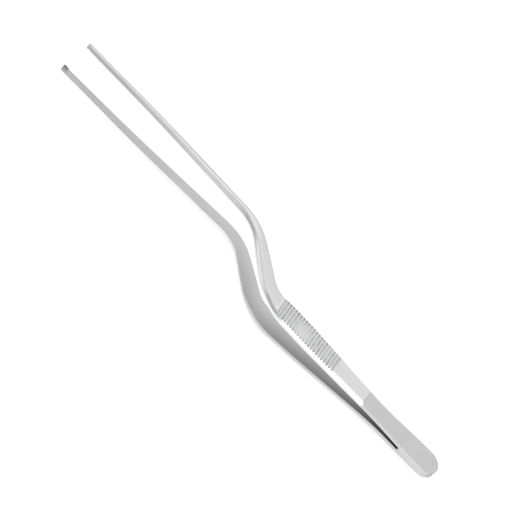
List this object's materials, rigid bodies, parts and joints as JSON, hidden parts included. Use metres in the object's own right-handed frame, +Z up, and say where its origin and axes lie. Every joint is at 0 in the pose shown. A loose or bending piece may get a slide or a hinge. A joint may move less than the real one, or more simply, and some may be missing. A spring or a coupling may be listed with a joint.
{
  "type": "offset tissue forceps",
  "caption": "Bayonet tissue forceps with two sprung steel arms, cross-grooved grips, an offset bend, slender shafts and interlocking teeth at the tips.",
  "frame": {"origin": "under the middle of the whole part's bounding box, on the surface that it lies on", "axes": "+X from the rounded tail to the tips, +Z up, square to the grip of the lower arm, which lies on its back; the shafts are offset towards -Y"},
  "size_m": [0.2002, 0.0308, 0.0217],
  "materials": {
    "satin_steel": "satin, fine matt glass-bead finish with brighter ground edges"
  },
  "bodies": {
    "lower_half": {"lower_arm": "satin_steel", "tail_wedge": "satin_steel"},
    "upper_half": {"upper_arm": "satin_steel"}
  },
  "joints": [
    {"name": "arm_squeeze", "type": "hinge", "parent": "lower_half", "child": "upper_half", "pos_m": [-0.08339, 0.00996, 0.00304], "axis": [0, 1, 0], "range_deg": [0, 4.72], "stiffness_Nm_per_rad": 3.5}
  ]
}
